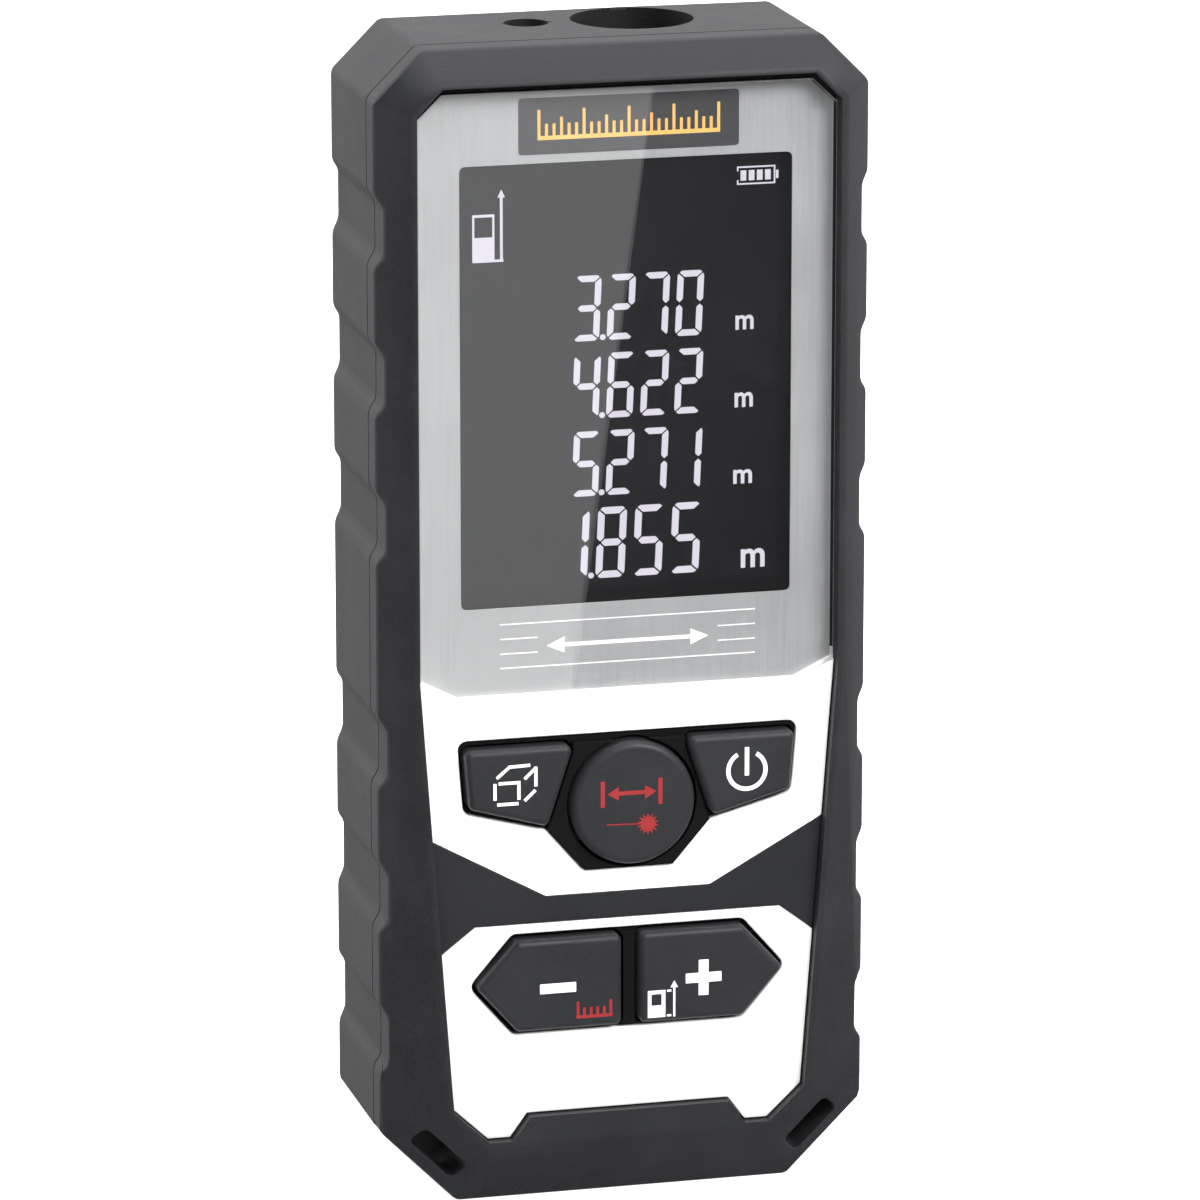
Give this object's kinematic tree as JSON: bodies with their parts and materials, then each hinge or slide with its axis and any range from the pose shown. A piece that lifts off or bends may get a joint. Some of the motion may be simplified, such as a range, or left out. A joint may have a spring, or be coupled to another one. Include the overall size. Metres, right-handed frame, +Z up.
{
  "type": "laser distance meter",
  "caption": "Handheld laser distance meter with a ribbed rubber-coated housing, tall display window, sprung keys and a hinged battery door.",
  "frame": {"origin": "under the middle of the base, on the surface the meter stands on", "axes": "+Z up to the beam end, -Y out of the display, +X to the right as the display is read"},
  "size_m": [0.052, 0.027, 0.122],
  "materials": {
    "soft_rubber": "fine-grained soft-touch coating, matt",
    "fascia_white": "gloss white moulding",
    "band_black": "satin black inlay",
    "window_clear": "polished clear window",
    "mask_film": "silver-grey print",
    "plate_grey": "dark grey print",
    "print_white": "white pad print",
    "print_red": "red pad print",
    "print_orange": "orange print",
    "lcd_dark": "dark display glass",
    "lcd_lit": "lit display segments",
    "holder_white": "moulded white",
    "light_guide": "polished pale acrylic",
    "connector_amber": "striped conductive rubber",
    "mat_rubber": "matt black silicone",
    "key_rubber": "satin black silicone",
    "carbon_pill": "carbon-filled rubber",
    "gold": "turned brass and gold plate",
    "board_green": "solder mask over copper",
    "chip_black": "moulded epoxy",
    "ceramic_tan": "fired ceramic",
    "steel": "nickel-plated steel",
    "optics_black": "matt black glass-filled nylon",
    "lens_glass": "coated optical glass",
    "filter_red": "red filter glass",
    "seal_rubber": "matt black seal rubber",
    "door_black": "fine-grained moulded plastic",
    "cell_sleeve": "printed film sleeve"
  },
  "bodies": {
    "housing": {"rear_cover": "soft_rubber", "front_frame": "soft_rubber", "front_panel": "fascia_white", "waist_band": "band_black", "display_window": "window_clear", "window_mask": "mask_film", "lcd_panel": "lcd_dark", "lcd_holder": "holder_white", "backlight": "light_guide", "lcd_connector": "connector_amber", "keypad_mat": "mat_rubber", "contact_pads": "gold", "main_board": "board_green", "main_chip": "chip_black", "driver_chip": "chip_black", "timing_crystal": "steel", "board_capacitors": "ceramic_tan", "buzzer": "chip_black", "board_screws": "steel", "optics_block": "optics_black", "laser_barrel": "gold", "laser_diode": "steel", "collimator_lens": "lens_glass", "laser_window": "lens_glass", "receiver_lens": "lens_glass", "lens_ring": "optics_black", "lens_seal": "seal_rubber", "optical_filter": "filter_red", "photodiode": "steel", "sensor_board": "board_green", "aperture_gasket": "seal_rubber", "optics_screws": "steel", "housing_gasket": "seal_rubber", "housing_screws": "steel", "battery_left": "cell_sleeve", "battery_right": "cell_sleeve", "battery_springs": "steel", "contact_bridge": "steel", "contact_positive": "steel", "contact_negative": "steel"},
    "area_key": {"key_area": "key_rubber", "pill_area": "carbon_pill"},
    "measure_key": {"key_measure": "key_rubber", "pill_measure": "carbon_pill"},
    "power_key": {"key_power": "key_rubber", "pill_power": "carbon_pill"},
    "minus_key": {"key_minus": "key_rubber", "pill_minus": "carbon_pill"},
    "plus_key": {"key_plus": "key_rubber", "pill_plus": "carbon_pill"},
    "door": {"battery_door": "door_black", "door_seal": "seal_rubber"}
  },
  "joints": [
    {"name": "area_press", "type": "slide", "parent": "housing", "child": "area_key", "axis": [0, 1, 0], "range_m": [0, 0.0006], "stiffness_N_per_m": 900},
    {"name": "measure_press", "type": "slide", "parent": "housing", "child": "measure_key", "axis": [0, 1, 0], "range_m": [0, 0.0006], "stiffness_N_per_m": 900},
    {"name": "power_press", "type": "slide", "parent": "housing", "child": "power_key", "axis": [0, 1, 0], "range_m": [0, 0.0006], "stiffness_N_per_m": 900},
    {"name": "minus_press", "type": "slide", "parent": "housing", "child": "minus_key", "axis": [0, 1, 0], "range_m": [0, 0.0006], "stiffness_N_per_m": 900},
    {"name": "plus_press", "type": "slide", "parent": "housing", "child": "plus_key", "axis": [0, 1, 0], "range_m": [0, 0.0006], "stiffness_N_per_m": 900},
    {"name": "door_hinge", "type": "hinge", "parent": "housing", "child": "door", "pos_m": [0, 0.0127, 0.0104], "axis": [-1, 0, 0], "range_deg": [0, 85]}
  ]
}
